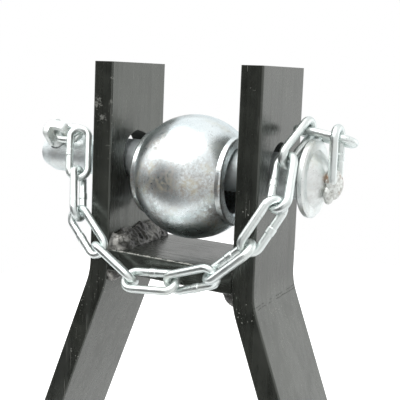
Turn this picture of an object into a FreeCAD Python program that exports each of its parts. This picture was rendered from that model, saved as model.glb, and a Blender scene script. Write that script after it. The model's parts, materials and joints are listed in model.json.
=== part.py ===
import FreeCAD, Part
import math
import os

# Three-point hitch drawbar, Category 1 linkage.
# A drilled flat bar with a pin at each end carries an A-frame of two flat steel legs.
# The legs' upright tops hold a loose pin with a turning ball, and a chain joins the
# pin's head to its linch pin.
# Millimetres. +Z up, +X along the bar, -Y the side that the chain hangs on.
# The origin is the centre hole of the bar, on its underside.

V = FreeCAD.Vector

# Drilled bar
bar_width = 76.0
bar_thickness = 30.0
bar_edge_chamfer = 1.5
hole_count = 7
hole_pitch = 72.5
hole_diameter = 33.0
hole_chamfer = 1.0

# Lower hitch pins
shoulder_spread = 683.0
lower_pin_diameter = 22.0
lower_pin_length = 60.0
lower_pin_chamfer = 3.0
lower_pin_tail = 45.0
lower_linch_diameter = 12.0
lower_linch_from_shoulder = 44.0
shoulder_length = 8.0
shoulder_diameter = 29.0
shoulder_weld = 3.0

# A-frame legs, flat steel
mast_height = 460.0
flat_width = 45.0
flat_thickness = 10.0
flat_edge_radius = 0.8
legs_gap = 62.0
leg_above_hole = 43.5
leg_angle = 20.4
leg_bend_radius = 30.0
bend_below_plate_top = 6.5
top_hole_diameter = 23.0
top_hole_chamfer = 0.6
foot_weld_size = 6.0
# How full a fillet weld's face is: 0.5 would be flat.
weld_crown = 0.56

# Plate between the uprights, under the ball
plate_thickness = 10.0
plate_below_ball = 6.0
plate_weld_size = 7.0

# Top hitch pin with its domed head
pin_diameter = 19.0
pin_head_from_leg = 13.0
pin_under_head = 137.5
pin_end_chamfer = 2.5
pin_end_chamfer_length = 6.0
head_diameter = 32.8
head_rim = 3.2
head_rim_round = 0.7
dome_diameter = 24.0
dome_height = 6.0
head_weld_size = 2.5
# Size of the lump that holds the head's link, in widths of the link's arch.
link_weld_across = 1.35
link_weld_up = 1.5

# Ball
ball_diameter = 56.0
ball_bore = 28.7
ball_width = 45.0
collar_diameter = 39.4
collar_round = 1.0
ball_bore_chamfer = 1.2

# Linch pin
linch_from_pin_end = 10.0
linch_diameter = 10.0
linch_hole_clearance = 1.0
linch_beyond_pin = 9.0
linch_tip_length = 5.0
linch_tip_diameter = 6.0
linch_tilt = 40.0
linch_head_diameter = 12.0
linch_head_height = 9.0
linch_head_rounding = 0.6
linch_shoulder_gap = 0.3
tab_thickness = 4.4
tab_reach = 8.2
tab_height = 9.5
tab_end_round = 4.0
eye_diameter = 6.0
eye_from_axis = 3.6
eye_above_pin = 4.8

# Chain, welded links
link_wire = 3.5
link_inside_length = 20.7
link_inside_width = 5.2
link_play = 0.4
link_seam_length = 3.4
link_seam_swell = 0.22
coupling_inside_length = 8.7
coupling_above_pin = 4.1

# The link welded to the pin's head, and the last link, which hooks round its far side.
# The last link's near strand crosses the head link's slot, up from the head link's middle
# and aside of it, and the other links hang from that strand at the hook.
head_link_above_pin = 9.3
last_link_up = 8.32
last_link_aside = 0.525
last_link_back = 6.205
last_link_plan_angle = 4.1
last_link_dip = 0.168
last_link_roll = 84
last_link_hook = 6.3

# The chain hangs in front of the uprights. Each place is a share of the way from the
# coupling link to the last link, with how far it hangs forward of that line, in half
# widths of the flats, and how far down.
chain_hang = (
    (0.067, 0.49, 17.7),
    (0.133, 0.852, 35.8),
    (0.257, 1.087, 51.3),
    (0.415, 1.187, 63.5),
    (0.599, 1.218, 64.1),
    (0.77, 1.367, 58.4),
    (0.902, 1.33, 45.4),
    (0.982, 1.124, 28.1),
    (0.963, 0.619, 10.9),
)
# How far each hanging link's flat side is rolled away from one common way, in degrees.
link_facing = (0.5, -0.86, 0.1)
link_rolls = (-2.2, 111, 18.8, 81.9, 136.9, 19.4, 100.9, 22.9, 129.5, 45.3)
settle_rounds = 60

# Running clearances
resting_gap = 0.05
seat_gap = 0.05

# Heights and places that follow from the sizes above
lower_pin_z = bar_thickness / 2
hole_z = lower_pin_z + mast_height
pin_z = hole_z - (top_hole_diameter - pin_diameter) / 2 + resting_gap
ball_z = pin_z - (ball_bore - pin_diameter) / 2 + resting_gap
leg_top_z = hole_z + leg_above_hole
plate_top_z = ball_z - ball_diameter / 2 - plate_below_ball
bend_start_z = plate_top_z - bend_below_plate_top
leg_inner_x = legs_gap / 2
leg_outer_x = leg_inner_x + flat_thickness
front_y = -flat_width / 2
head_x = leg_outer_x + pin_head_from_leg
pin_end_x = head_x - pin_under_head
linch_x = pin_end_x + linch_from_pin_end
pin_radius = pin_diameter / 2
wire_radius = link_wire / 2
arch_radius = (link_inside_width + link_wire) / 2


def save(name, shape):
    """Write one sub-part to its own file."""
    shape.exportStep("parts/%s.step" % name)


def turned(points, axis_place=V(0, 0, 0), axis=V(1, 0, 0)):
    """Turn a closed outline, given as (along X, radius) corners, into a solid about X."""
    corners = [V(x, 0, r) for x, r in points]
    outline = Part.makePolygon(corners + [corners[0]])
    return Part.Face(outline).revolve(axis_place, axis, 360)


def rod(radius, start, end):
    """A plain round bar between two points."""
    along = end - start
    return Part.makeCylinder(radius, along.Length, start, along)


def edges_at(shape, test):
    """The edges of a shape whose middle point passes a test."""
    chosen = []
    for edge in shape.Edges:
        middle = edge.valueAt((edge.FirstParameter + edge.LastParameter) / 2)
        if test(middle, edge):
            chosen.append(edge)
    return chosen


def chamfered_hole(diameter, chamfer, start, direction, length):
    """The tool for a through hole with a small chamfer at each end."""
    radius = diameter / 2
    end = start + direction * length
    tool = Part.makeCylinder(radius, length, start, direction)
    near = Part.makeCone(radius + chamfer, radius, chamfer, start, direction)
    far = Part.makeCone(radius + chamfer, radius, chamfer, end, direction * -1)
    return tool.fuse([near, far])


def fillet_bead(corner, along_a, along_b, run, size):
    """A fillet weld with a slightly crowned face, run along the corner of two plates."""
    a = corner + along_a * size
    b = corner + along_b * size
    crown = corner + (along_a + along_b) * size * weld_crown
    face = Part.Arc(a, crown, b).toShape()
    sides = [Part.makeLine(corner, a), face, Part.makeLine(b, corner)]
    return Part.Face(Part.Wire(sides)).extrude(run)


def drawbar():
    """Flat bar with a row of through holes and a blind bore in each end for its pin."""
    length = shoulder_spread - 2 * shoulder_length
    bar = Part.makeBox(length, bar_width, bar_thickness, V(-length / 2, -bar_width / 2, 0))
    bar = bar.makeChamfer(bar_edge_chamfer, edges_at(bar, lambda p, e: e.Length > length - 1))
    first = -(hole_count - 1) / 2 * hole_pitch
    for number in range(hole_count):
        place = V(first + number * hole_pitch, 0, 0)
        bar = bar.cut(chamfered_hole(hole_diameter, hole_chamfer, place, V(0, 0, 1), bar_thickness))
    for side in (-1, 1):
        end = V(side * length / 2, 0, lower_pin_z)
        inner = end - V(side * (lower_pin_tail + seat_gap), 0, 0)
        bar = bar.cut(rod(lower_pin_diameter / 2 + seat_gap, inner, end))
    return bar


def lower_pin(side):
    """Lower hitch pin: tail in the bar, shoulder, journal and linch pin hole."""
    radius = lower_pin_diameter / 2
    weld = shoulder_weld
    shoulder = shoulder_diameter / 2
    outline = [
        (-shoulder_length - lower_pin_tail, 0),
        (-shoulder_length - lower_pin_tail, radius),
        (-shoulder_length, radius),
        (-shoulder_length, shoulder - weld),
        (-shoulder_length + weld, shoulder),
        (0, shoulder),
        (0, radius),
        (lower_pin_length - lower_pin_chamfer, radius),
        (lower_pin_length, radius - lower_pin_chamfer),
        (lower_pin_length, 0),
    ]
    pin = turned(outline)
    hole = V(lower_linch_from_shoulder, 0, -radius - 1)
    pin = pin.cut(Part.makeCylinder(lower_linch_diameter / 2, 2 * radius + 2, hole))
    if side < 0:
        pin.rotate(V(0, 0, 0), V(0, 0, 1), 180)
    pin.translate(V(side * shoulder_spread / 2, 0, lower_pin_z))
    return pin


def lower_pin_weld(side):
    """Ring of weld in the groove between a pin's shoulder and the end of the bar."""
    shoulder = shoulder_diameter / 2
    ring = turned([(0, shoulder - shoulder_weld), (0, shoulder), (shoulder_weld, shoulder)])
    if side < 0:
        ring.rotate(V(0, 0, 0), V(0, 0, 1), 180)
    ring.translate(V(side * (shoulder_spread / 2 - shoulder_length), 0, lower_pin_z))
    return ring


def leg_profile_points():
    """Corners of the right leg's outline in the XZ plane, from its top to its foot."""
    angle = math.radians(leg_angle)
    centre = V(leg_outer_x + leg_bend_radius, 0, bend_start_z)
    slope = V(math.sin(angle), 0, -math.cos(angle))

    def arc_point(radius, share):
        turn = angle * share
        return centre + V(-math.cos(turn), 0, -math.sin(turn)) * radius

    def foot(start):
        return start + slope * ((start.z - bar_thickness) / math.cos(angle))

    outer = [arc_point(leg_bend_radius, share) for share in (0, 0.5, 1)]
    inner = [arc_point(leg_bend_radius + flat_thickness, share) for share in (0, 0.5, 1)]
    return outer, inner, foot(outer[2]), foot(inner[2])


def leg(side):
    """Flat steel leg: drilled upright, smooth bend, splayed run down to the bar."""
    outer, inner, outer_foot, inner_foot = leg_profile_points()
    top_in = V(leg_inner_x, 0, leg_top_z)
    top_out = V(leg_outer_x, 0, leg_top_z)
    outline = [
        Part.makeLine(top_in, top_out),
        Part.makeLine(top_out, outer[0]),
        Part.Arc(*outer).toShape(),
        Part.makeLine(outer[2], outer_foot),
        Part.makeLine(outer_foot, inner_foot),
        Part.makeLine(inner_foot, inner[2]),
        Part.Arc(*reversed(inner)).toShape(),
        Part.makeLine(inner[0], top_in),
    ]
    face = Part.Face(Part.Wire(outline))
    face.translate(V(0, front_y, 0))
    solid = face.extrude(V(0, flat_width, 0))

    def long_edge(middle, edge):
        on_side = abs(abs(middle.y) - flat_width / 2) < 0.01
        between = bar_thickness + 1 < middle.z < leg_top_z - 1
        return on_side and between

    solid = solid.makeFillet(flat_edge_radius, edges_at(solid, long_edge))
    hole = V(leg_inner_x, 0, hole_z)
    tool = chamfered_hole(top_hole_diameter, top_hole_chamfer, hole, V(1, 0, 0), flat_thickness)
    solid = solid.cut(tool)
    if side < 0:
        solid = solid.mirror(V(0, 0, 0), V(1, 0, 0))
    return solid


def foot_welds():
    """Fillet welds along the inner and outer side of each leg's foot."""
    outer, inner, outer_foot, inner_foot = leg_profile_points()
    slope_up = (outer[2] - outer_foot).normalize()
    run = V(0, flat_width, 0)
    beads = []
    for place, across in ((outer_foot, V(1, 0, 0)), (inner_foot, V(-1, 0, 0))):
        start = V(place.x, front_y, place.z)
        bead = fillet_bead(start, across, slope_up, run, foot_weld_size)
        beads.append(bead)
        beads.append(bead.mirror(V(0, 0, 0), V(1, 0, 0)))
    return Part.makeCompound(beads)


def cross_plate():
    """Flat plate that ties the uprights together under the ball."""
    low = V(-leg_inner_x, front_y, plate_top_z - plate_thickness)
    plate = Part.makeBox(legs_gap, flat_width, plate_thickness, low)
    long_edges = edges_at(plate, lambda p, e: e.Length > legs_gap - 1)
    return plate.makeFillet(flat_edge_radius, long_edges)


def cross_plate_welds():
    """Fillet welds above and below the plate, along each upright."""
    inset = flat_edge_radius
    run = V(0, flat_width - 2 * inset, 0)
    plate_bottom = plate_top_z - plate_thickness
    beads = []
    for height, up in ((plate_top_z, 1), (plate_bottom, -1)):
        corner = V(leg_inner_x, front_y + inset, height)
        bead = fillet_bead(corner, V(-1, 0, 0), V(0, 0, up), run, plate_weld_size)
        beads.append(bead)
        beads.append(bead.mirror(V(0, 0, 0), V(1, 0, 0)))
    leg_pair = leg(1).fuse(leg(-1))
    return Part.makeCompound([bead.cut(leg_pair) for bead in beads])


def top_link_pin():
    """Round hitch pin with a long end chamfer and a cross hole for the linch pin."""
    small = pin_radius - pin_end_chamfer
    outline = [
        (pin_end_x, 0),
        (pin_end_x, small),
        (pin_end_x + pin_end_chamfer_length, pin_radius),
        (head_x, pin_radius),
        (head_x, 0),
    ]
    pin = turned(outline)
    reach = V(0, 0, pin_diameter)
    middle = V(linch_x, 0, 0)
    hole = rod((linch_diameter + linch_hole_clearance) / 2, middle - reach, middle + reach)
    hole.rotate(V(0, 0, 0), V(1, 0, 0), linch_tilt)
    pin = pin.cut(hole)
    pin.translate(V(0, 0, pin_z))
    return pin


def pin_head():
    """Round head: a rim, a turned groove and a shallow dome."""
    rim = head_diameter / 2
    edge = head_rim_round
    dome = dome_diameter / 2
    face_x = head_x + head_rim
    sphere = (dome ** 2 + dome_height ** 2) / (2 * dome_height)
    flank = dome / 2
    bulge = V(face_x + dome_height - sphere + math.sqrt(sphere ** 2 - flank ** 2), 0, flank)
    lines = [
        Part.makeLine(V(head_x, 0, 0), V(head_x, 0, rim - edge)),
        Part.makeLine(V(head_x, 0, rim - edge), V(head_x + edge, 0, rim)),
        Part.makeLine(V(head_x + edge, 0, rim), V(face_x - edge, 0, rim)),
        Part.makeLine(V(face_x - edge, 0, rim), V(face_x, 0, rim - edge)),
        Part.makeLine(V(face_x, 0, rim - edge), V(face_x, 0, dome)),
        Part.Arc(V(face_x, 0, dome), bulge, V(face_x + dome_height, 0, 0)).toShape(),
        Part.makeLine(V(face_x + dome_height, 0, 0), V(head_x, 0, 0)),
    ]
    head = Part.Face(Part.Wire(lines)).revolve(V(0, 0, 0), V(1, 0, 0), 360)
    head.translate(V(0, 0, pin_z))
    return head


def pin_head_weld():
    """Ring of weld between the pin and the back of its head."""
    size = head_weld_size
    ring = turned([(head_x, pin_radius), (head_x, pin_radius + size), (head_x - size, pin_radius)])
    ring.translate(V(0, 0, pin_z))
    return ring


def link_seam():
    """The slight swelling where a link's wire is butt welded, in the middle of one strand."""
    half = link_seam_length / 2
    swollen = wire_radius + link_seam_swell
    slope = 2 * link_seam_swell
    outline = [
        (-half, 0),
        (-half, wire_radius),
        (-half + slope, swollen),
        (half - slope, swollen),
        (half, wire_radius),
        (half, 0),
    ]
    seam = turned(outline)
    seam.translate(V(0, -arch_radius, 0))
    return seam


def link_solid(inside_length):
    """A chain link about the origin, long way along X, flat in the XY plane.

    The coupling link's strands are too short to carry a seam, so they stay plain.
    """
    half = (inside_length + link_wire) / 2 - arch_radius
    pieces = []
    if half > link_seam_length:
        pieces.append(link_seam())
    for side in (-1, 1):
        strand_start = V(-side * half, side * arch_radius, 0)
        section = Part.Face(Part.Wire(Part.makeCircle(wire_radius, strand_start, V(side, 0, 0))))
        strand = section.extrude(V(2 * side * half, 0, 0))
        bend = section.revolve(V(-side * half, 0, 0), V(0, 0, 1), 180)
        pieces += [strand, bend]
    return pieces[0].fuse(pieces[1:]).removeSplitter()


def placed_link(inside_length, centre, along, flat_normal):
    """Put a link with its long way and the normal of its flat side along two directions."""
    across = flat_normal.cross(along).normalize()
    normal = along.cross(across).normalize()
    turn = FreeCAD.Rotation(along, across, normal, "XYZ")
    link = link_solid(inside_length)
    link.Placement = FreeCAD.Placement(centre, turn)
    return link


def head_link_centre():
    """Middle of the link that is welded upright on the head's dome."""
    x = head_x + head_rim + dome_height + wire_radius + seat_gap
    return V(x, 0, pin_z + head_link_above_pin)


def head_link():
    """Link welded to the head, standing up, parallel to the head's face."""
    return placed_link(link_inside_length, head_link_centre(), V(0, 0, 1), V(1, 0, 0))


def head_link_weld():
    """Lump of weld that holds the lower arch of the head's link to the dome."""
    centre = head_link_centre()
    lump = Part.makeSphere(1.0)
    scale = FreeCAD.Matrix()
    thick = wire_radius + dome_height / 2
    scale.scale(V(thick, arch_radius * link_weld_across, arch_radius * link_weld_up))
    lump = lump.transformGeometry(scale)
    lump.translate(V(centre.x - wire_radius, 0, pin_z - wire_radius))
    return lump.cut(head_link().fuse([pin_head(), top_link_pin()]))


def hitch_ball():
    """Ball with a short collar on each side and a through bore."""
    radius = ball_diameter / 2
    collar = collar_diameter / 2
    bore = ball_bore / 2
    half = ball_width / 2
    join = math.sqrt(radius ** 2 - collar ** 2)
    right = [
        Part.makeLine(V(join, 0, collar), V(half - collar_round, 0, collar)),
        Part.Arc(
            V(half - collar_round, 0, collar),
            V(half - collar_round * (1 - math.sqrt(0.5)), 0, collar - collar_round * (1 - math.sqrt(0.5))),
            V(half, 0, collar - collar_round),
        ).toShape(),
        Part.makeLine(V(half, 0, collar - collar_round), V(half, 0, bore + ball_bore_chamfer)),
        Part.makeLine(V(half, 0, bore + ball_bore_chamfer), V(half - ball_bore_chamfer, 0, bore)),
    ]
    left = [edge.mirror(V(0, 0, 0), V(1, 0, 0)) for edge in right]
    sphere = Part.Arc(V(-join, 0, collar), V(0, 0, radius), V(join, 0, collar)).toShape()
    inside = half - ball_bore_chamfer
    bore_line = Part.makeLine(V(-inside, 0, bore), V(inside, 0, bore))
    outline = Part.Wire(Part.__sortEdges__([sphere, bore_line] + right + left))
    ball = Part.Face(outline).revolve(V(0, 0, 0), V(1, 0, 0), 360)
    ball.translate(V(0, 0, ball_z))
    return ball


def linch_frame():
    """Directions at the linch pin: across its eye, and out along its shank to the head."""
    tilt = math.radians(linch_tilt)
    across = V(0, math.cos(tilt), math.sin(tilt))
    outward = V(0, -math.sin(tilt), math.cos(tilt))
    return across, outward


def linch_pin():
    """Linch pin: tapered shank, rounded knob and a thin tab with an eye beside it."""
    seat = pin_radius + linch_shoulder_gap
    radius = linch_diameter / 2
    tip = linch_tip_diameter / 2
    low = -pin_radius - linch_beyond_pin
    shank = Part.makeCylinder(radius, seat + 2 - low - linch_tip_length, V(0, 0, low + linch_tip_length))
    taper = Part.makeCone(tip, radius, linch_tip_length, V(0, 0, low))
    head_radius = linch_head_diameter / 2
    knob = Part.makeCylinder(head_radius, linch_head_height, V(0, 0, seat))
    crown = edges_at(knob, lambda p, e: p.z > seat + 1 and e.Length > 10)
    knob = knob.makeFillet(head_radius * linch_head_rounding, crown)
    slot = Part.makeBox(2 * head_radius, 2 * head_radius, linch_head_height, V(0, 0, seat))
    slot_start = eye_from_axis - eye_diameter / 2 - link_play
    for side in (-1, 1):
        low_y = tab_thickness / 2 if side > 0 else -tab_thickness / 2 - 2 * head_radius
        knob = knob.cut(slot.translated(V(slot_start, low_y, 0)))
    tab = Part.makeBox(tab_reach, tab_thickness, tab_height, V(0, -tab_thickness / 2, seat))
    corner = edges_at(tab, lambda p, e: p.x > tab_reach - 0.1 and p.z > seat + tab_height - 0.1)
    tab = tab.makeFillet(tab_end_round, corner)
    pin = shank.fuse([taper, knob, tab]).removeSplitter()
    eye_place = V(eye_from_axis, -head_radius, pin_radius + eye_above_pin)
    pin = pin.cut(Part.makeCylinder(eye_diameter / 2, 2 * head_radius, eye_place, V(0, 1, 0)))
    pin.rotate(V(0, 0, 0), V(1, 0, 0), linch_tilt)
    pin.translate(V(linch_x, 0, pin_z))
    return pin


def coupling_centre():
    """Middle of the short link that joins the linch pin's eye to the chain."""
    outward = linch_frame()[1]
    eye_left = linch_x + eye_from_axis - eye_diameter / 2 + link_play
    x = eye_left + link_wire + coupling_inside_length / 2
    return V(x, 0, pin_z) + outward * (pin_radius + coupling_above_pin)


def coupling_link():
    """Short link through the linch pin's eye, lying along the top pin."""
    return placed_link(coupling_inside_length, coupling_centre(), V(1, 0, 0), linch_frame()[1])


def link_normal(along, roll):
    """Normal of a link's flat side, rolled about the link's length."""
    facing = along.cross(V(*link_facing)).cross(along).normalize()
    return FreeCAD.Rotation(along, roll).multVec(facing)


def last_link_place():
    """Middle, heading and flat side's normal of the link that hooks on the head's link."""
    plan_angle = math.radians(last_link_plan_angle)
    heading = V(math.cos(plan_angle), math.sin(plan_angle), -last_link_dip).normalize()
    normal = link_normal(heading, last_link_roll)
    crossing = head_link_centre() + V(0, last_link_aside, last_link_up)
    centre = crossing - normal.cross(heading) * arch_radius - heading * last_link_back
    return centre, heading, normal


def chain_start():
    """Middle of the coupling link's arch, which the first hanging link bears on."""
    return coupling_centre() + V((coupling_inside_length + link_wire) / 2, 0, 0)


def chain_end():
    """The place on the last link's near strand that the other links hang from."""
    centre, heading, normal = last_link_place()
    near = normal.cross(heading)
    return centre + near * arch_radius - heading * last_link_hook


def hang_curve(slack, start, end):
    """The line that the hanging links follow, for one amount of slack."""
    places = [start]
    for share, forward, down in chain_hang:
        offset = V(0, forward * front_y, -down)
        places.append(start + (end - start) * share + offset * slack)
    places.append(end)
    curve = Part.BSplineCurve()
    curve.interpolate(places)
    return curve


def walk(curve, steps):
    """Points counted off along a curve, each a straight step from the one before it."""
    low = curve.FirstParameter
    points = [curve.value(low)]
    for step in steps:
        near, far = low, curve.LastParameter
        for _ in range(40):
            middle = (near + far) / 2
            if (curve.value(middle) - points[-1]).Length < step:
                near = middle
            else:
                far = middle
        low = far
        points.append(curve.value(low))
    return points, low


def first_joints():
    """Where the links meet along the hang curve, with the slack that makes them just fit."""
    reach = (link_wire + link_play) / 2
    step = link_inside_length + link_wire - 2 * reach
    steps = [step - reach] + [step] * (len(link_rolls) - 2) + [step - reach]
    tight, loose = 0.2, 2.5
    for _ in range(40):
        slack = (tight + loose) / 2
        curve = hang_curve(slack, chain_start(), chain_end())
        points, reached = walk(curve, steps)
        if reached >= curve.LastParameter - 1e-6:
            tight = slack
        else:
            loose = slack
    return points


def contact(wire_a, wire_b, along):
    """Which way two crossing wires press on each other, pointing along the chain."""
    across = wire_a.cross(wire_b).normalize()
    return across if across.dot(along) > 0 else across * -1


def settled_links():
    """Middle, heading and normal of each hanging link, arches resting on each other.

    Every round turns each link to the line between its two joints, then moves each joint
    to the middle of the two link ends that meet there.
    """
    reach = (link_wire + link_play) / 2
    half = (link_inside_length + link_wire) / 2
    joints = first_joints()
    headings = [(end - start).normalize() for start, end in zip(joints, joints[1:])]
    first_wire = linch_frame()[0]
    last_wire = last_link_place()[1]
    for _ in range(settle_rounds):
        normals = [link_normal(heading, roll) for heading, roll in zip(headings, link_rolls)]
        wires = [normal.cross(heading) for normal, heading in zip(normals, headings)]
        presses = [contact(first_wire, wires[0], headings[0])]
        for number in range(1, len(wires)):
            both = headings[number - 1] + headings[number]
            presses.append(contact(wires[number - 1], wires[number], both))
        presses.append(contact(last_wire, wires[-1], headings[-1]))
        joints[0] = chain_start() - presses[0] * reach
        joints[-1] = chain_end() + presses[-1] * reach
        starts = [joint - press * reach for joint, press in zip(joints, presses)]
        ends = [joint + press * reach for joint, press in zip(joints[1:], presses[1:])]
        headings = [(end - start).normalize() for start, end in zip(starts, ends)]
        middles = [(start + end) / 2 for start, end in zip(starts, ends)]
        for number in range(1, len(middles)):
            before = middles[number - 1] + headings[number - 1] * half - presses[number] * reach
            after = middles[number] - headings[number] * half + presses[number] * reach
            joints[number] = (before + after) / 2
    normals = [link_normal(heading, roll) for heading, roll in zip(headings, link_rolls)]
    return list(zip(middles, headings, normals))


def chain_links():
    """The chain's links, from the linch pin's end to the one that hooks on the head's link."""
    places = settled_links() + [last_link_place()]
    return [placed_link(link_inside_length, *place) for place in places]


os.makedirs("parts", exist_ok=True)

save("drawbar", drawbar())
save("lower_pin_left", lower_pin(-1))
save("lower_pin_right", lower_pin(1))
save("lower_pin_welds", Part.makeCompound([lower_pin_weld(-1), lower_pin_weld(1)]))
save("left_leg", leg(-1))
save("right_leg", leg(1))
save("leg_foot_welds", foot_welds())
save("cross_plate", cross_plate())
save("cross_plate_welds", cross_plate_welds())
save("top_link_pin", top_link_pin())
save("pin_head", pin_head())
save("pin_head_weld", pin_head_weld())
save("head_link", head_link())
save("head_link_weld", head_link_weld())
save("hitch_ball", hitch_ball())
save("linch_pin", linch_pin())
save("coupling_link", coupling_link())
for number, link in enumerate(chain_links(), start=1):
    save("chain_link_%02d" % number, link)
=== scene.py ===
# %% [markdown]
# # A three-point hitch drawbar, dressed for its photograph
#
# The real object is an A-frame of black painted flat steel. A loose zinc-plated pin
# crosses its top and carries a turning ball. A chain joins the pin's head to the linch
# pin that keeps it in place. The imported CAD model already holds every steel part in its
# place, so Blender adds what CAD can't say: paint, plating, weld beads, light and camera.
#
# The frame is a fixed reference. Its nodes keep their meshes and places, and every new
# piece rides on one of its bodies, so the scene also holds when the pin or ball turns.

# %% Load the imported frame
import json
import math
import bmesh
import bpy
from mathutils import Matrix, Vector, noise


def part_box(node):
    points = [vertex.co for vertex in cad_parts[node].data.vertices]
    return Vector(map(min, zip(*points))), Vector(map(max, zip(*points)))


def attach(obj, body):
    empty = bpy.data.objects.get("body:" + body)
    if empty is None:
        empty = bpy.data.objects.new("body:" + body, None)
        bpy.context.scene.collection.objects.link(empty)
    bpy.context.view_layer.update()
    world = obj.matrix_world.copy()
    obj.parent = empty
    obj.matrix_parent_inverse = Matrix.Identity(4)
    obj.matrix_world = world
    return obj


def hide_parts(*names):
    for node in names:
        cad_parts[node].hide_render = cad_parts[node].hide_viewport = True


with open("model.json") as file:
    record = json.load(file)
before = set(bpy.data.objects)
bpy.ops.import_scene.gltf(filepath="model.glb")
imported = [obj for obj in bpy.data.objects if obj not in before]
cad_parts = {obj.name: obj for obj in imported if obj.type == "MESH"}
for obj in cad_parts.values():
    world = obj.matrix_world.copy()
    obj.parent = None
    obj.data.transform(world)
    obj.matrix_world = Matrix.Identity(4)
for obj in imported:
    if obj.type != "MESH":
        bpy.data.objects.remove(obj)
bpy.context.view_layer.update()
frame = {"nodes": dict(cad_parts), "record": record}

MM = 0.001

# %% [markdown]
# ## The camera
#
# A camera can be placed by eye, but then a wrong lens hides behind wrong sizes. This one was
# found by fitting the ball's bore, rim and faces, the pin and the edges of the uprights to
# the photograph. The photograph is cut from a larger one, so the lens axis isn't at the
# middle of the picture: the camera's shift puts it back in its place.

# %% Camera
PHOTO_PIXELS = 400
SENSOR_MM = 36.0
FOCAL_PIXELS = 733.70
AXIS_PIXEL_X = 172.2
AXIS_PIXEL_Y = 143.8
CAMERA_PLACE_MM = Vector((156.5, -289.4, 514.6))
CAMERA_YAW = 0.5284
CAMERA_PITCH = -0.0971
CAMERA_ROLL = 0.0354


def camera_axes(yaw, pitch, roll):
    """Right, up and backward directions of a camera that looks along +Y when unturned."""
    forward = Vector((-math.sin(yaw) * math.cos(pitch), math.cos(yaw) * math.cos(pitch), math.sin(pitch)))
    level_right = Vector((math.cos(yaw), math.sin(yaw), 0))
    level_up = level_right.cross(forward)
    right = level_right * math.cos(roll) + level_up * math.sin(roll)
    up = level_up * math.cos(roll) - level_right * math.sin(roll)
    return right, up, -forward


camera_data = bpy.data.cameras.new("camera")
camera = bpy.data.objects.new("camera", camera_data)
bpy.context.scene.collection.objects.link(camera)
camera_data.sensor_width = SENSOR_MM
camera_data.lens = FOCAL_PIXELS * SENSOR_MM / PHOTO_PIXELS
camera_data.shift_x = (PHOTO_PIXELS / 2 - AXIS_PIXEL_X) / PHOTO_PIXELS
camera_data.shift_y = (AXIS_PIXEL_Y - PHOTO_PIXELS / 2) / PHOTO_PIXELS
camera_data.clip_start = 0.01
camera_data.clip_end = 100
turn = Matrix(camera_axes(CAMERA_YAW, CAMERA_PITCH, CAMERA_ROLL)).transposed()
camera.matrix_world = Matrix.Translation(CAMERA_PLACE_MM * MM) @ turn.to_4x4()
bpy.context.scene.camera = camera
bpy.context.scene.view_settings.view_transform = "Standard"
print("lens %.2f mm, shift %.3f %.3f" % (camera_data.lens, camera_data.shift_x, camera_data.shift_y))

# %% [markdown]
# ## Node helpers
#
# A procedural material is a small graph of nodes. These helpers keep each one short:
# `add` makes a node and sets or links its inputs by name or number, so that a recipe reads
# from the pattern to the shader.


# %% Node helpers
def add(tree, kind, inputs=None, **settings):
    """Make a node. An input is a plain value, or another node's output socket to link."""
    made = tree.nodes.new(kind)
    for name, value in settings.items():
        setattr(made, name, value)
    for name, value in (inputs or {}).items():
        socket = made.inputs[name]
        if isinstance(value, bpy.types.NodeSocket):
            tree.links.new(value, socket)
        else:
            socket.default_value = value
    return made


def grey(value):
    """A grey or, from three numbers, a colour with full alpha."""
    if isinstance(value, (int, float)):
        return (value, value, value, 1)
    return (*value, 1)


def ramp(tree, factor, stops):
    """A colour ramp from (position, colour) stops."""
    made = add(tree, "ShaderNodeValToRGB", {"Fac": factor})
    elements = made.color_ramp.elements
    while len(elements) < len(stops):
        elements.new(1)
    for element, (position, colour) in zip(elements, stops):
        element.position = position
        element.color = grey(colour)
    return made.outputs["Color"]


def noise_at(tree, place, scale, detail=4, roughness=0.55, distortion=0.0):
    """Cloudy noise at a place: a scale of 100 gives clouds about 10 mm across."""
    inputs = {"Vector": place, "Scale": scale, "Detail": detail, "Roughness": roughness}
    inputs["Distortion"] = distortion
    return add(tree, "ShaderNodeTexNoise", inputs).outputs["Fac"]


def math_of(tree, operation, first, second=0.0, third=0.0):
    """One sum on sockets or numbers. A multiply-add gives first x second + third."""
    made = add(tree, "ShaderNodeMath", {0: first, 1: second, 2: third}, operation=operation)
    return made.outputs["Value"]


MIX_FACTOR, MIX_FIRST, MIX_SECOND = 0, 6, 7
MIX_RESULT = 2


def mixed(tree, factor, first, second, blend="MIX"):
    """Mix two colours. The node has a set of inputs for each type, and these are the colours' own."""
    inputs = {MIX_FACTOR: factor, MIX_FIRST: first, MIX_SECOND: second}
    made = add(tree, "ShaderNodeMix", inputs, data_type="RGBA", blend_type=blend)
    return made.outputs[MIX_RESULT]


def highest(tree, *values):
    """The highest of several sockets at each point."""
    top = values[0]
    for value in values[1:]:
        top = math_of(tree, "MAXIMUM", top, value)
    return top


print("node helpers ready")

# %% [markdown]
# Every material starts alike, with the object's own coordinates at one end of its tree and
# the output at the other. Object coordinates are in metres and stay with a piece when it
# moves, so a scratch keeps its place on the pin as the pin turns.


# %% Material helpers
def new_material(name):
    """An empty node material, with its tree, the object's own coordinates and an output."""
    material = bpy.data.materials.new(name)
    material.use_nodes = True
    tree = material.node_tree
    tree.nodes.clear()
    place = add(tree, "ShaderNodeTexCoord").outputs["Object"]
    output = add(tree, "ShaderNodeOutputMaterial")
    return material, tree, place, output


def stretched(tree, place, scale, turn_by=(0, 0, 0)):
    """The place coordinates squeezed by a scale per axis, for scratches and streaks."""
    made = add(tree, "ShaderNodeMapping", {"Vector": place, "Scale": scale, "Rotation": turn_by})
    return made.outputs["Vector"]


print("material helpers ready")

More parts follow.
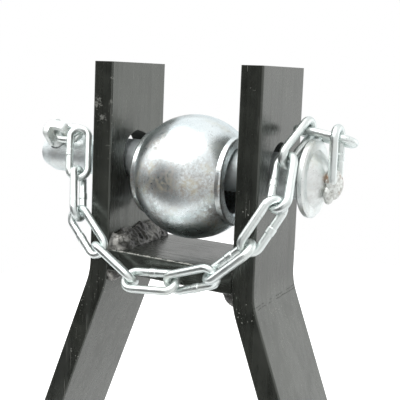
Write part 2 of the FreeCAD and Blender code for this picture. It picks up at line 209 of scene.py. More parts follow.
# %% [markdown]
# ## The studio
#
# The photograph's background is pure white, and the black paint shows why the light has
# to be placed with care: the faces that look to the right mirror a bright wall, and the
# faces that look at the camera mirror a dark room. A photographer builds this with white
# and black boards. The world does it here: it gives each direction its own brightness for
# reflections, from a dark front to a white wall behind, a bright ceiling, and a window in
# front on the right that lights ball and chain. The camera itself sees plain white.

# %% World
WALL_BRIGHT = 1.0
ROOM_DARK = 0.06
CEILING_BRIGHT = 1.08
WINDOW_BRIGHT = 0.95
WINDOW_LOW = 0.42

world = bpy.data.worlds.new("studio")
bpy.context.scene.world = world
world.use_nodes = True
tree = world.node_tree
tree.nodes.clear()
direction = add(tree, "ShaderNodeTexCoord").outputs["Generated"]
axes = add(tree, "ShaderNodeSeparateXYZ", {"Vector": direction}).outputs
backward, sideways, upward = (math_of(tree, "MULTIPLY_ADD", axes[axis], 0.5, 0.5) for axis in "YXZ")
walls = ramp(tree, backward, [(0.32, ROOM_DARK), (0.72, 0.5), (0.97, WALL_BRIGHT)])
ceiling = ramp(tree, axes["Z"], [(0.25, 0.0), (0.6, CEILING_BRIGHT)])
window_side = ramp(tree, sideways, [(0.36, 0.0), (0.54, 1.0)])
window_height = ramp(tree, upward, [(0.28, WINDOW_LOW), (0.52, WINDOW_BRIGHT)])
window = math_of(tree, "MULTIPLY", window_side, window_height)
lit_walls = mixed(tree, 1.0, walls, ceiling, "LIGHTEN")
lit_room = mixed(tree, 1.0, lit_walls, window, "LIGHTEN")
room = add(tree, "ShaderNodeBackground", {"Color": lit_room, "Strength": 1.0})
white = add(tree, "ShaderNodeBackground", {"Color": grey(1.0), "Strength": 1.0})
seen = add(tree, "ShaderNodeLightPath").outputs["Is Camera Ray"]
mix = add(tree, "ShaderNodeMixShader", {0: seen, 1: room.outputs[0], 2: white.outputs[0]})
add(tree, "ShaderNodeOutputWorld", {"Surface": mix.outputs[0]})
print("room:", len(tree.nodes), "nodes")

# %% [markdown]
# The floor is pale. Near the object nearly all its light comes from the lamps and the
# room, so the object's shadow shows on it. Farther out, where the lamps are weaker, it has
# a glow of its own, so that it meets the white background without a line.

# %% Floor
FLOOR_SIZE = 1.1
FLOOR_IN_FRONT = 0.45
FLOOR_GLOW_NEAR = 0.1
FLOOR_GLOW_FAR = 0.75
GLOW_STARTS = 0.4
GLOW_IS_FULL = 0.85

bm = bmesh.new()
bmesh.ops.create_grid(bm, x_segments=1, y_segments=1, size=FLOOR_SIZE)
bmesh.ops.translate(bm, verts=bm.verts, vec=(0, FLOOR_SIZE - FLOOR_IN_FRONT, 0))
floor_mesh = bpy.data.meshes.new("floor")
bm.to_mesh(floor_mesh)
bm.free()
floor = bpy.data.objects.new("floor", floor_mesh)
bpy.context.scene.collection.objects.link(floor)
material, tree, place, output = new_material("pale_floor")
from_middle = add(tree, "ShaderNodeVectorMath", {0: place}, operation="LENGTH").outputs["Value"]
glow_colour = ramp(tree, from_middle, [(GLOW_STARTS, FLOOR_GLOW_NEAR), (GLOW_IS_FULL, FLOOR_GLOW_FAR)])
glow = add(tree, "ShaderNodeEmission", {"Color": glow_colour, "Strength": 1.0})
matt = add(tree, "ShaderNodeBsdfDiffuse", {"Color": grey(0.8)})
lit = add(tree, "ShaderNodeAddShader", {0: glow.outputs[0], 1: matt.outputs[0]})
seen = add(tree, "ShaderNodeLightPath").outputs["Is Camera Ray"]
mix = add(tree, "ShaderNodeMixShader", {0: seen, 1: matt.outputs[0], 2: lit.outputs[0]})
tree.links.new(mix.outputs[0], output.inputs["Surface"])
floor_mesh.materials.append(material)
print("floor: %.1f m square" % (2 * FLOOR_SIZE))

# %% [markdown]
# Three large soft boxes give the object's shadow and a gentle modelling: a broad one over
# the camera and weaker ones on both sides. They could be spot lamps, but those would put
# hard points of light on the plated ball, which the photograph doesn't have.


# %% Lamps
def soft_lamp(name, place_mm, target_mm, width_mm, height_mm, watts):
    """A rectangular soft box that looks at a target."""
    data = bpy.data.lights.new(name, "AREA")
    data.shape = "RECTANGLE"
    data.size = width_mm * MM
    data.size_y = height_mm * MM
    data.energy = watts
    lamp = bpy.data.objects.new(name, data)
    bpy.context.scene.collection.objects.link(lamp)
    place = Vector(place_mm) * MM
    lamp.location = place
    lamp.rotation_euler = (Vector(target_mm) * MM - place).to_track_quat("-Z", "Y").to_euler()


BALL_PLACE = (0, 0, 468)
LAMPS = {
    "lamp_over": {"place_mm": (-300, -700, 1700), "width_mm": 1700, "height_mm": 1500, "watts": 20},
    "lamp_right": {"place_mm": (1300, 1300, 600), "width_mm": 1400, "height_mm": 1500, "watts": 4},
    "lamp_left": {"place_mm": (-1500, -500, 1100), "width_mm": 1200, "height_mm": 1200, "watts": 6},
}
for lamp_name, lamp_values in LAMPS.items():
    soft_lamp(lamp_name, target_mm=BALL_PLACE, **lamp_values)
print("lamps:", ", ".join(LAMPS))

# %% [markdown]
# ## Marks in the paint
#
# The frame is brushed or dipped in black gloss paint over mill steel. Close up the paint
# has orange peel, hair-fine scratches, and small pale specks where dust or a chip breaks
# the gloss. An image could carry all that, but a pattern built from noise in the object's
# own coordinates has no seams and stays sharp at any distance.
#
# Dust is the simplest of them. A Voronoi pattern gives each point's distance to the nearest
# of many scattered dots, and a dot shows where that distance is short enough. How short
# varies from patch to patch, so some places are dusty and others clean.


# %% Dust
def specks_at(tree, place, scale, size, cover):
    """Small round dots of dust, dense in some patches and absent in others."""
    dots = add(tree, "ShaderNodeTexVoronoi", {"Vector": place, "Scale": scale, "Randomness": 1.0})
    patch = noise_at(tree, place, scale / 12, 3)
    reach = math_of(tree, "MULTIPLY", math_of(tree, "SUBTRACT", patch, cover), size)
    return math_of(tree, "LESS_THAN", dots.outputs["Distance"], reach)


print("dust ready")

# %% [markdown]
# Other marks have a place of their own, which is worked out from the boxes of the CAD
# nodes, so that they move with the object's sizes. The walls of the uprights' holes get a
# painted shade, near-black and dull: they are all the points near the holes' axis.
# The pin lies on the bottom of its holes, so its lowest point says where they are.

# %% Walls of the holes
FLAT_THICKNESS = 10.0
HOLE_RADIUS = 11.5
HOLE_MARGIN = 0.15
# Painted shade: near-black for the walls of the holes, also used for the dark lines at the bends.
HOLE_SHADE_AND_BEND_LINES = (0.004, 0.004, 0.004, 1)

plate_low, plate_high = (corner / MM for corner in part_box("cross_plate"))
upright_inside, front_face = plate_high.x, plate_low.y
upright_outside = upright_inside + FLAT_THICKNESS
hole_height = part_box("top_link_pin")[0].z / MM + HOLE_RADIUS


def hole_wall(tree, place):
    """1 inside the uprights' holes and 0 elsewhere, from the distance to the holes' axis."""
    axes = add(tree, "ShaderNodeSeparateXYZ", {"Vector": place}).outputs
    above = math_of(tree, "SUBTRACT", axes["Z"], hole_height * MM)
    squares = math_of(tree, "MULTIPLY_ADD", above, above, math_of(tree, "MULTIPLY", axes["Y"], axes["Y"]))
    distance = math_of(tree, "SQRT", squares)
    return math_of(tree, "LESS_THAN", distance, (HOLE_RADIUS + HOLE_MARGIN) * MM)


print("holes %.1f mm up, uprights from %.1f to %.1f mm" % (hole_height, upright_inside, upright_outside))

# %% [markdown]
# The chain and the hooks that close on the ball have scuffed the uprights' front edges, the
# left one most. A scuff is a ball of space with a middle and a radius. Inside it the
# pattern's threshold drops towards the middle, so the crumbs of bare steel are dense there
# and thin out to nothing at its edge.

# %% Scuffs
upright_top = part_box("left_leg")[1].z / MM
SCUFFS = (
    (Vector((-upright_outside + 2, front_face, upright_top - 19)), 5.5),
    (Vector((-upright_outside + 5, front_face, upright_top - 25)), 3.5),
    (Vector((-upright_inside - 0.5, front_face, upright_top - 18)), 2.2),
    (Vector((-upright_inside, front_face, upright_top - 7.5)), 1.8),
    (Vector((upright_inside + 0.5, front_face, plate_low.z - 10.25)), 3.0),
)
SCUFF_REACH = 0.25
SCUFF_COVER = 0.69


def scuffed(tree, place):
    """Rubbed spots where the chain or a hook has struck an upright, broken up by noise."""
    crumbs = noise_at(tree, place, 900, 5, 0.7)
    spots = []
    for middle, radius in SCUFFS:
        inputs = {0: place, 1: middle * MM}
        distance = add(tree, "ShaderNodeVectorMath", inputs, operation="DISTANCE").outputs["Value"]
        nearness = math_of(tree, "SUBTRACT", 1.0, math_of(tree, "DIVIDE", distance, radius * MM))
        share = math_of(tree, "MULTIPLY_ADD", nearness, SCUFF_REACH, crumbs)
        within = math_of(tree, "GREATER_THAN", nearness, 0.0)
        spots.append(math_of(tree, "MULTIPLY", math_of(tree, "GREATER_THAN", share, SCUFF_COVER), within))
    return highest(tree, *spots)


print("scuffs: %d, under uprights' tops at %.2f mm" % (len(SCUFFS), upright_top))

# %% [markdown]
# Two thin near-black lines cross the outside of each bend. They are two heights, made wavy
# and broken by noise, on the legs' outer faces alone.

# %% Dark lines at the bends
BEND_LINES_BELOW_PLATE = 4.15
BEND_LINE_OFFSETS = (0.6, -0.6)
BEND_LINE_HALF = 0.1
BEND_LINE_WOBBLE = 1.2
OUTSIDE_MARGIN = 0.4

bend_lines_middle = plate_low.z - BEND_LINES_BELOW_PLATE


def bend_lines(tree, place):
    """The hair lines across the outside of each bend."""
    axes = add(tree, "ShaderNodeSeparateXYZ", {"Vector": place}).outputs
    from_middle = math_of(tree, "ABSOLUTE", axes["X"])
    outside = math_of(tree, "GREATER_THAN", from_middle, (upright_outside - OUTSIDE_MARGIN) * MM)
    wobble = math_of(tree, "SUBTRACT", noise_at(tree, place, 90, 2), 0.5)
    height = math_of(tree, "MULTIPLY_ADD", wobble, BEND_LINE_WOBBLE * MM, axes["Z"])
    lines = []
    for offset in BEND_LINE_OFFSETS:
        off = math_of(tree, "ABSOLUTE", math_of(tree, "SUBTRACT", height, (bend_lines_middle + offset) * MM))
        lines.append(math_of(tree, "LESS_THAN", off, BEND_LINE_HALF * MM))
    broken = math_of(tree, "GREATER_THAN", noise_at(tree, place, 120, 2), 0.42)
    return math_of(tree, "MULTIPLY", math_of(tree, "MULTIPLY", highest(tree, *lines), outside), broken)


print("press lines %.1f mm up" % bend_lines_middle)

# %% [markdown]
# ## Black gloss paint
#
# The paint itself is a dark base under a clear gloss, so one dielectric shader with a high
# index of refraction is enough. Its roughness varies with the grain of the rolled steel
# under it, along the upright on the legs and across on the plate. All marks share one
# mask, which turns them pale and dull.

# %% Black paint
PAINT_BLACK = (0.010, 0.011, 0.009)
PAINT_GREY = (0.030, 0.032, 0.027)
PAINT_SHEEN = (0.95, 1.0, 0.93, 1)
SCRAPED = (0.25, 0.25, 0.23, 1)
DUST_SHARE = 0.75
SCRATCH_SHARE = 0.3
SCUFF_SHARE = 0.5


def paint_marks(tree, place):
    """How pale and dull each point is, from 0 to 1, from dust, scratches and scuffs."""
    small = specks_at(tree, place, 620, 0.9, 0.46)
    large = specks_at(tree, place, 300, 0.6, 0.56)
    long_way = stretched(tree, place, (1300, 1300, 45), (0.25, 0.4, 0.2))
    hair = math_of(tree, "GREATER_THAN", noise_at(tree, long_way, 1.0, 2, 0.5, 0.3), 0.7)
    short_way = stretched(tree, place, (260, 900, 900), (0.5, 0.2, 0.9))
    nick = math_of(tree, "GREATER_THAN", noise_at(tree, short_way, 1.0, 2, 0.6, 0.8), 0.74)
    dust = math_of(tree, "MULTIPLY", highest(tree, small, large), DUST_SHARE)
    scratches = math_of(tree, "MULTIPLY", highest(tree, hair, nick), SCRATCH_SHARE)
    scuffs = math_of(tree, "MULTIPLY", scuffed(tree, place), SCUFF_SHARE)
    return highest(tree, dust, scratches, scuffs)


def paint(name, grain_scale):
    """Black gloss paint with faint clouds, marks and the steel's rolling grain."""
    material, tree, place, output = new_material(name)
    tone = ramp(tree, noise_at(tree, place, 55, 5, 0.6, 0.5), [(0.35, PAINT_BLACK), (0.7, PAINT_GREY)])
    marks = paint_marks(tree, place)
    # Painted shade in the holes' walls, and the dark lines at the bends: both turn near-black and dull.
    inside = highest(tree, hole_wall(tree, place), bend_lines(tree, place))
    colour = mixed(tree, inside, mixed(tree, marks, tone, SCRAPED), HOLE_SHADE_AND_BEND_LINES)
    grain = noise_at(tree, stretched(tree, place, grain_scale), 1.0, 4, 0.6, 0.4)
    smear = noise_at(tree, stretched(tree, place, (40, 40, 16)), 1.0, 5, 0.6, 1.2)
    cover = math_of(tree, "MULTIPLY_ADD", grain, 0.5, math_of(tree, "MULTIPLY", smear, 0.5))
    gloss = ramp(tree, cover, [(0.32, 0.14), (0.66, 0.38)])
    rough = mixed(tree, inside, mixed(tree, marks, gloss, grey(0.6)), grey(1.0))
    peel = math_of(tree, "MULTIPLY_ADD", grain, 0.25, noise_at(tree, place, 400, 3))
    bump = add(tree, "ShaderNodeBump", {"Height": peel, "Strength": 1.0, "Distance": 0.05 * MM})
    shader = add(tree, "ShaderNodeBsdfPrincipled", {
        "Base Color": colour, "Roughness": rough, "IOR": 1.8, "Specular Tint": PAINT_SHEEN,
        "Normal": bump.outputs["Normal"],
    })
    tree.links.new(shader.outputs["BSDF"], output.inputs["Surface"])
    return material


GRAIN_UP = (420, 420, 9)
GRAIN_ACROSS = (9, 520, 520)
frame_paint = paint("frame_paint", GRAIN_UP)
plate_paint = paint("plate_paint", GRAIN_ACROSS)
print("paint:", frame_paint.name, plate_paint.name)

# %% [markdown]
# Paint doesn't cover a rough weld bead. It lies black in the hollows, and brown and grey
# slag shows on the crests, most of all where the bead was knocked clean.


# %% Painted weld
def weld_paint(name):
    """Black paint over a rough bead, worn to the slag in patches."""
    material, tree, place, output = new_material(name)
    crust = noise_at(tree, place, 260, 6, 0.7, 1.2)
    covered = ramp(tree, crust, [(0.40, (0.012, 0.012, 0.011)), (0.62, (0.07, 0.068, 0.06))])
    bare = ramp(tree, crust, [(0.36, (0.05, 0.048, 0.043)), (0.62, (0.44, 0.43, 0.40))])
    patch = noise_at(tree, stretched(tree, place, (160, 60, 160)), 1.0, 3)
    worn = ramp(tree, patch, [(0.48, 0.0), (0.6, 1.0)])
    tone = mixed(tree, worn, covered, bare)
    rough = ramp(tree, noise_at(tree, place, 300, 4), [(0.3, 0.16), (0.7, 0.45)])
    grain = noise_at(tree, place, 700, 4, 0.65)
    bump = add(tree, "ShaderNodeBump", {"Height": grain, "Strength": 1.0, "Distance": 0.16 * MM})
    shader = add(tree, "ShaderNodeBsdfPrincipled", {
        "Base Color": tone, "Roughness": rough, "IOR": 1.6, "Normal": bump.outputs["Normal"],
    })
    tree.links.new(shader.outputs["BSDF"], output.inputs["Surface"])
    return material


painted_weld = weld_paint("painted_weld")
print("weld paint:", painted_weld.name)

# %% [markdown]
# ## Bright zinc
#
# Ball, pin and chain are zinc plated and passivated, which leaves a bluish, silvery
# metal with faint cloudy patches. Here and there gas from the bath has left a tiny pit, and
# weather and handling have stained the zinc in mottled grey and brown blotches. On the ball
# they fill a belt round its middle.
#
# Blotches, belt and pits are made as masks, from 0 to 1, before any colour comes in. So
# one mask can change colour, gloss and height alike, and the three always agree.

# %% Stains and pits
BELT_WAVE = 16


def belt_of_stain(tree, place, low, high):
    """1 between two heights in mm, fading out towards both, with a wavy edge."""
    height = add(tree, "ShaderNodeSeparateXYZ", {"Vector": place}).outputs["Z"]
    wavy = math_of(tree, "MULTIPLY_ADD", noise_at(tree, place, 60, 3), BELT_WAVE * MM, height)
    inputs = {"Value": wavy, "From Min": low * MM, "From Max": high * MM}
    share = add(tree, "ShaderNodeMapRange", inputs).outputs["Result"]
    return ramp(tree, share, [(0.0, 0.0), (0.3, 1.0), (0.6, 0.7), (1.0, 0.0)])


def stains(tree, place, strength, belt):
    """Mottled blotches, and a belt of them if its lowest and highest height are given."""
    blotch = ramp(tree, noise_at(tree, place, 45, 3), [(0.48, 0.0), (0.62, 1.0)])
    if belt:
        blotch = highest(tree, blotch, belt_of_stain(tree, place, *belt))
    mottle = ramp(tree, noise_at(tree, place, 620, 7, 0.8), [(0.38, 0.0), (0.58, 1.0)])
    return math_of(tree, "MULTIPLY", math_of(tree, "MULTIPLY", blotch, mottle), strength)


def tiny_pits(tree, place):
    """Pits less than a millimetre apart, in the parts of the skin that have them."""
    distance = add(tree, "ShaderNodeTexVoronoi", {"Vector": place, "Scale": 900}).outputs["Distance"]
    pitted = math_of(tree, "GREATER_THAN", noise_at(tree, place, 130, 3), 0.54)
    return math_of(tree, "MULTIPLY", math_of(tree, "LESS_THAN", distance, 0.16), pitted)


print("stains and pits ready")

# %% [markdown]
# A metal's colour is its mirror colour, and the shader's specular tint is what it turns to
# at a grazing angle. Nearly all that is seen on such a metal is the room in it, so
# roughness matters more than colour.

# %% Zinc plating
ZINC_EDGE = (0.86, 0.91, 0.93, 1)
PIT_GREY = (0.16, 0.17, 0.18, 1)
PIT_SHARE = 0.6
PIT_DEPTH = 0.8
STAIN_TONES = [(0.38, (0.33, 0.32, 0.30)), (0.5, (0.44, 0.41, 0.38)), (0.62, (0.60, 0.56, 0.45))]
STAIN_ROUGHNESS = 0.5


def zinc(name, bright, dull, roughness, bump_mm, grain, stained, belt=None):
    """Zinc plating, cloudy between a bright and a dull tint, and between two roughnesses.

    Bump and grain are the height in mm and the fineness of its skin. Stained is how strong
    its blotches are, and belt the lowest and highest height, in mm, that are blotched.
    """
    material, tree, place, output = new_material(name)
    stain = stains(tree, place, stained, belt)
    pits = tiny_pits(tree, place)
    clean_tone = ramp(tree, noise_at(tree, place, 70, 5, 0.6, 0.4), [(0.35, bright), (0.68, dull)])
    stain_tone = ramp(tree, noise_at(tree, place, 110, 2), STAIN_TONES)
    tone = mixed(tree, stain, clean_tone, stain_tone)
    colour = mixed(tree, math_of(tree, "MULTIPLY", pits, PIT_SHARE), tone, PIT_GREY)
    smooth, coarse = roughness
    clean_rough = ramp(tree, noise_at(tree, place, 160, 4), [(0.3, smooth), (0.75, coarse)])
    rough = mixed(tree, stain, clean_rough, grey(STAIN_ROUGHNESS))
    relief = math_of(tree, "MULTIPLY_ADD", pits, -PIT_DEPTH, noise_at(tree, place, grain, 3))
    bump = add(tree, "ShaderNodeBump", {"Height": relief, "Strength": 1.0, "Distance": bump_mm * MM})
    shader = add(tree, "ShaderNodeBsdfPrincipled", {
        "Base Color": colour, "Metallic": 1.0, "Roughness": rough, "Specular Tint": ZINC_EDGE,
        "Normal": bump.outputs["Normal"],
    })
    tree.links.new(shader.outputs["BSDF"], output.inputs["Surface"])
    return material


print("zinc pits are %.1f of the skin's bump deep" % PIT_DEPTH)

# %% [markdown]
# The turned ball is the glossiest. The chain's drawn wire comes next, and pin, head and
# forged linch pin are satin.

# %% Zinc on each kind of piece
zinc_ball = zinc(
    "zinc_ball", bright=(0.86, 0.92, 0.93), dull=(0.70, 0.77, 0.79), roughness=(0.20, 0.33),
    bump_mm=0.03, grain=1300, stained=1.0, belt=(464, 496),
)
zinc_pin = zinc(
    "zinc_pin", bright=(0.84, 0.89, 0.89), dull=(0.70, 0.75, 0.76), roughness=(0.44, 0.60),
    bump_mm=0.02, grain=1500, stained=0.3,
)
zinc_head = zinc(
    "zinc_head", bright=(0.88, 0.91, 0.90), dull=(0.70, 0.73, 0.72), roughness=(0.40, 0.54),
    bump_mm=0.06, grain=1100, stained=0.35,
)
zinc_linch = zinc(
    "zinc_linch", bright=(0.88, 0.92, 0.91), dull=(0.74, 0.78, 0.77), roughness=(0.52, 0.66),
    bump_mm=0.06, grain=900, stained=0.35,
)
zinc_chain = zinc(
    "zinc_chain", bright=(0.86, 0.91, 0.89), dull=(0.70, 0.75, 0.74), roughness=(0.28, 0.44),
    bump_mm=0.03, grain=900, stained=0.2,
)
print("zinc:", ", ".join(made.name for made in (zinc_ball, zinc_pin, zinc_head, zinc_linch, zinc_chain)))

# %% [markdown]
# ## The weld on the pin's head
#
# The head's link is welded on before plating. Plating takes badly on slag, so the lump
# is dull and grainy, and it has started to rust where the plating is thin.


# %% Plated weld
def plated_weld_material():
    """Dull zinc over slag, rusty in patches."""
    material, tree, place, output = new_material("plated_weld")
    grain = noise_at(tree, place, 700, 6, 0.7)
    tone = ramp(tree, grain, [
        (0.36, (0.42, 0.42, 0.39)), (0.5, (0.70, 0.72, 0.69)), (0.66, (0.86, 0.89, 0.87)),
    ])
    rust_tone = ramp(tree, grain, [(0.4, (0.12, 0.07, 0.04)), (0.62, (0.45, 0.33, 0.24))])
    rusty = ramp(tree, noise_at(tree, place, 150, 4, 0.6), [(0.56, 0.0), (0.63, 1.0)])
    colour = mixed(tree, rusty, tone, rust_tone)
    bump = add(tree, "ShaderNodeBump", {"Height": grain, "Strength": 1.0, "Distance": 0.12 * MM})
    shader = add(tree, "ShaderNodeBsdfPrincipled", {
        "Base Color": colour, "Metallic": 0.6, "Roughness": 0.55, "Normal": bump.outputs["Normal"],
    })
    tree.links.new(shader.outputs["BSDF"], output.inputs["Surface"])
    return material


plated_weld = plated_weld_material()
print("plating over slag:", plated_weld.name)

# %% [markdown]
# ## Each part gets its finish
#
# The frame's record names a material slot for every node, so a short loop dresses them
# all. Three parts differ a little from their slot: the plate's rolling grain runs across,
# the pin's head is shinier than its shank, and the linch pin is forged and duller.

# %% Finish on every CAD node
MATERIALS = {
    "frame_paint": frame_paint,
    "painted_weld": painted_weld,
    "zinc_ball": zinc_ball,
    "zinc_pin": zinc_pin,
    "zinc_chain": zinc_chain,
    "plated_weld": plated_weld,
}
OWN_MATERIALS = {
    "cross_plate": plate_paint,
    "pin_head": zinc_head,
    "linch_pin": zinc_linch,
}
for row in frame["record"]["subparts"]:
    node = frame["nodes"][row["node"]]
    for slot in node.material_slots:
        slot.material = OWN_MATERIALS.get(row["node"], MATERIALS[row["material_slot"]])
print("nodes dressed:", len(frame["nodes"]))

# %% [markdown]
# ## Weld beads
#
# A hand-laid fillet weld is a row of puddles: each one froze over the edge of the last,
# so its skin shows crescents, and it swells and thins as the hand moved. A plain profile
# swept along the corner would be alike at every section, and bump in the material would
# leave its outline straight. So a closed bar is made along each corner, and every point of
# its skin is pushed to where the weld's face is, with noise for the swellings and a sine
# for the crescents. The part inside the steel is small, so nothing comes out on the far
# side.


# %% Weld helpers
def shaped_bar(bm, rings, segments, shape):
    """A closed bar with its skin where shape(along, around) says, from 0 to 1 and -pi to pi."""
    # The bar is a metre long until it is shaped, so its own long edges are the tall ones.
    first = len(bm.verts)
    bmesh.ops.create_cone(bm, cap_ends=True, segments=segments, radius1=1, radius2=1, depth=1)
    risers = [edge for edge in bm.edges if abs(edge.verts[0].co.z - edge.verts[1].co.z) > 0.9]
    bmesh.ops.subdivide_edges(bm, edges=risers, cuts=rings)
    bm.verts.ensure_lookup_table()
    for vert in bm.verts[first:]:
        along = vert.co.z + 0.5
        around = math.atan2(vert.co.y, vert.co.x)
        vert.co = shape(along, around) * MM


def new_piece(name, bm, material, body, stands_for=None):
    """Turn a bmesh into a smooth piece that rides on a body, and may stand for a CAD node."""
    bmesh.ops.recalc_face_normals(bm, faces=bm.faces)
    for face in bm.faces:
        face.smooth = True
    mesh = bpy.data.meshes.new(name)
    bm.to_mesh(mesh)
    bm.free()
    mesh.materials.append(material)
    piece = bpy.data.objects.new(name, mesh)
    bpy.context.scene.collection.objects.link(piece)
    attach(piece, body)
    if stands_for:
        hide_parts(stands_for)
    return piece


def lumps(place, roughness):
    """How far a weld's skin stands out at a place, in mm: large swellings and small grains."""
    large = noise.noise(place * 0.16) * roughness
    middle = noise.noise(place * 0.42 + Vector((7, 3, 1))) * roughness * 0.45
    small = noise.noise(place * 1.2 + Vector((1, 9, 4))) * roughness * 0.08
    return large + middle + small


print("weld helpers ready")

# %% [markdown]
# Across the bead, most of the bar's skin is the face that is seen, which bulges a little,
# and the rest is the root, which lies in the steel. Both ends are rounded off. A crescent's
# middle lies behind its two ends, because the middle of a puddle is the last to freeze.

# %% Fillet weld
WELD_HALF_LENGTH = 22.4
FACE_SHARE = 0.62
FACE_BULGE = 0.16
ROOT_SHRINK = 0.65
END_SHARE = 0.6
END_BLUNT = 0.08
CRESCENT_HEIGHT = 0.55
CRESCENT_BOW = 1.6
BEAD_RINGS = 150
BEAD_SEGMENTS = 44


def fillet(bm, corner, lower, upper, size, roughness, pitch):
    """A fillet weld along Y in the corner between two faces, given by their directions."""
    middle_way = (lower + upper).normalized()
    across_way = (upper - lower).normalized()
    half_wedge = lower.angle(upper) / 2
    end_length = size * END_SHARE

    def shape(along, around):
        share = abs(around) / math.pi
        if share < FACE_SHARE:
            turn = half_wedge * share / FACE_SHARE
            reach = size * math.cos(half_wedge) / math.cos(turn)
            reach *= 1 + FACE_BULGE * math.cos(turn / half_wedge * math.pi / 2)
        else:
            inside = (share - FACE_SHARE) / (1 - FACE_SHARE)
            turn = half_wedge + (math.pi - half_wedge) * inside
            reach = size * (1 - ROOT_SHRINK * inside)
        turn = math.copysign(turn, around)
        y = (along * 2 - 1) * WELD_HALF_LENGTH
        way = middle_way * math.cos(turn) + across_way * math.sin(turn)
        from_end = WELD_HALF_LENGTH - abs(y)
        if from_end < end_length:
            reach *= max(END_BLUNT, math.sqrt(1 - (1 - from_end / end_length) ** 2))
        skin = corner + way * reach + Vector((0, y, 0))
        bow = math.cos(min(1, share / FACE_SHARE) * math.pi / 2)
        ripple = abs(math.sin(math.pi * (y + CRESCENT_BOW * bow) / pitch)) * CRESCENT_HEIGHT * bow
        return skin + way * (lumps(skin, roughness) + ripple)

    shaped_bar(bm, BEAD_RINGS, BEAD_SEGMENTS, shape)


print("a crescent stands %.2f mm high" % CRESCENT_HEIGHT)

# %% [markdown]
# Where the two uprights meet the plate, the beads above it are thick and ragged, the left
# one most of all. The beads below it are thinner and neater.

# %% Welds at the plate
RIGHT = Vector((1, 0, 0))
UP = Vector((0, 0, 1))
# Side -1 is the left one, towards -X, and side 1 the right one.
UPPER_WELDS = {-1: {"size": 7.6, "roughness": 1.9}, 1: {"size": 7.0, "roughness": 1.2}}
UPPER_PITCH = 2.6
UNDER_WELD = {"size": 5.4, "roughness": 0.9, "pitch": 2.4}

bm = bmesh.new()
for side, upper_weld in UPPER_WELDS.items():
    x = side * plate_high.x
    inward = RIGHT * -side
    fillet(bm, Vector((x, 0, plate_high.z)), inward, UP, pitch=UPPER_PITCH, **upper_weld)
    fillet(bm, Vector((x, 0, plate_low.z)), inward, -UP, **UNDER_WELD)
plate_beads = new_piece("plate_beads", bm, painted_weld, "frame", "cross_plate_welds")
print("plate welds:", len(plate_beads.data.polygons), "faces")

# %% [markdown]
# The legs stand splayed on the bar, so the corner outside each foot is wide and the one
# inside it is narrow. The same function fills both, since it takes the faces' directions.

# %% Welds at the feet
LEG_ANGLE = math.radians(20.4)
FOOT_WELD = {"size": 6.2, "roughness": 0.7, "pitch": 2.3}

bar_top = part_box("drawbar")[1].z / MM
leg_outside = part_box("right_leg")[1].x / MM
leg_inside = leg_outside - FLAT_THICKNESS / math.cos(LEG_ANGLE)
bm = bmesh.new()
for side in (-1, 1):
    outward = RIGHT * side
    up_leg = Vector((-side * math.sin(LEG_ANGLE), 0, math.cos(LEG_ANGLE)))
    fillet(bm, Vector((side * leg_outside, 0, bar_top)), outward, up_leg, **FOOT_WELD)
    fillet(bm, Vector((side * leg_inside, 0, bar_top)), -outward, up_leg, **FOOT_WELD)
foot_beads = new_piece("foot_beads", bm, painted_weld, "frame", "leg_foot_welds")
print("foot welds:", len(foot_beads.data.polygons), "faces")

# %% [markdown]
# The lower pins are welded all the way round, in the groove between shoulder and bar. A
# circle is spun about the pin's axis, as a lathe would turn the ring, and its skin gets
# crescents as well.

# %% Ring welds
RING_RADIUS = 12.3
RING_THICKNESS = 1.9
RING_GAP = 1.1
RING_CRESCENTS = 18
RING_CRESCENT_HEIGHT = 0.22
RING_LEAN = 0.8
RING_ROUGHNESS = 0.5
RING_SEGMENTS = 20
RING_STEPS = 160

bar_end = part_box("drawbar")[1].x / MM
pin_height = bar_top / 2
bm = bmesh.new()
for side in (-1, 1):
    middle = Vector((side * (bar_end + RING_GAP), 0, pin_height))
    to_top = Matrix.Translation((middle + UP * RING_RADIUS) * MM)
    upright = Matrix.Rotation(math.pi / 2, 4, "X")
    circle = bmesh.ops.create_circle(
        bm, segments=RING_SEGMENTS, radius=RING_THICKNESS * MM, matrix=to_top @ upright,
    )
    edges = list(dict.fromkeys(edge for vert in circle["verts"] for edge in vert.link_edges))
    bmesh.ops.spin(
        bm, geom=circle["verts"] + edges, cent=middle * MM, axis=RIGHT, angle=2 * math.pi,
        steps=RING_STEPS, use_merge=True,
    )
    for vert in [vert for vert in bm.verts if vert.co.x * side > 0]:
        place = vert.co / MM
        spoke = (place - middle) * Vector((0, 1, 1))
        turn = math.atan2(spoke.y, spoke.z)
        crescents = turn * RING_CRESCENTS + (place.x - middle.x) * RING_LEAN
        ripple = abs(math.sin(crescents)) * RING_CRESCENT_HEIGHT
        core = middle + spoke.normalized() * RING_RADIUS
        way = (place - core).normalized()
        vert.co = (place + way * (lumps(place, RING_ROUGHNESS) + ripple)) * MM
ring_beads = new_piece("ring_beads", bm, painted_weld, "frame", "lower_pin_welds")
print("ring welds:", len(ring_beads.data.polygons), "faces")

# %% [markdown]
# The lump on the pin's head is one large puddle with a few smaller ones round its foot,
# which blend it into the dome.

# %% Lump on the head
LUMP_ROUGHNESS = 0.5
LARGE_PUDDLE = (Vector((0, 0, 0)), 0.94)
SMALL_PUDDLES = (
    (Vector((-0.35, -0.45, -0.55)), 0.62),
    (Vector((-0.35, 0.5, -0.45)), 0.6),
    (Vector((-0.3, -0.5, 0.4)), 0.5),
    (Vector((-0.4, 0.35, 0.55)), 0.48),
)

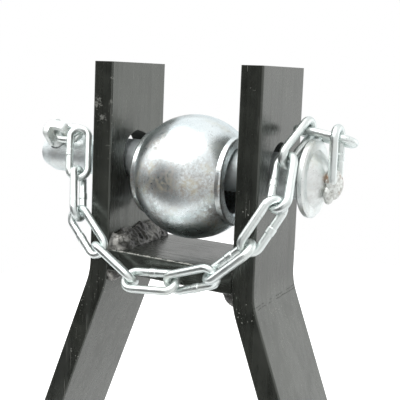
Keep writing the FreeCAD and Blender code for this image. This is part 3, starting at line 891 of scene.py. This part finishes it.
lump_low, lump_high = (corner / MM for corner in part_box("head_link_weld"))
lump_middle = (lump_low + lump_high) / 2
lump_half = (lump_high - lump_low) / 2
bm = bmesh.new()
for offset, share in (LARGE_PUDDLE, *SMALL_PUDDLES):
    first = len(bm.verts)
    bmesh.ops.create_icosphere(bm, subdivisions=5, radius=1)
    bm.verts.ensure_lookup_table()
    for vert in bm.verts[first:]:
        way = vert.co.normalized()
        place = lump_middle + (offset + way * share) * lump_half
        vert.co = (place + way * lumps(place, LUMP_ROUGHNESS)) * MM
head_lump = new_piece("head_lump", bm, plated_weld, "top_pin", "head_link_weld")
print("lump:", len(head_lump.data.polygons), "faces")

# %% [markdown]
# ## The plate's burr
#
# The plate was sheared, not milled. The shear leaves a thin ragged lip along its upper
# front edge, which wears through the paint and catches the light. Bump in the plate's
# paint couldn't stand out past its edge, so the lip is a thin bar laid along it.

# %% Burr
SCRAPED_EDGE = (0.30, 0.30, 0.27)
BURR_THICK = 0.42
BURR_SWELL = 0.22
BURR_NOTCH = 0.16
BURR_END_GAP = 0.5
BURR_FROM_FRONT = 0.55
BURR_FROM_TOP = 0.45
BURR_RINGS = 240
BURR_SEGMENTS = 10


def worn_edge_material():
    """Bare, dull steel showing through black paint in short lengths."""
    material, tree, place, output = new_material("worn_edge")
    wear = noise_at(tree, place, 300, 4, 0.65)
    tone = ramp(tree, wear, [(0.22, PAINT_GREY), (0.36, SCRAPED_EDGE)])
    shader = add(tree, "ShaderNodeBsdfPrincipled", {"Base Color": tone, "Roughness": 0.5, "IOR": 1.6})
    tree.links.new(shader.outputs["BSDF"], output.inputs["Surface"])
    return material


def burr_shape(along, around):
    """The lip's skin: a thin bar that thickens and thins along the plate's edge."""
    x = plate_low.x + BURR_END_GAP + along * (plate_high.x - plate_low.x - 2 * BURR_END_GAP)
    place = Vector((x, plate_low.y + BURR_FROM_FRONT, plate_high.z - BURR_FROM_TOP))
    swell = BURR_SWELL * noise.noise(Vector((x * 0.35, 0, 0)))
    notch = BURR_NOTCH * noise.noise(Vector((x * 1.3, 5, 0)))
    return place + Vector((0, math.cos(around), math.sin(around))) * (BURR_THICK + swell + notch)


bm = bmesh.new()
shaped_bar(bm, BURR_RINGS, BURR_SEGMENTS, burr_shape)
burr = new_piece("plate_burr", bm, worn_edge_material(), "frame")
print("burr:", len(burr.data.polygons), "faces")
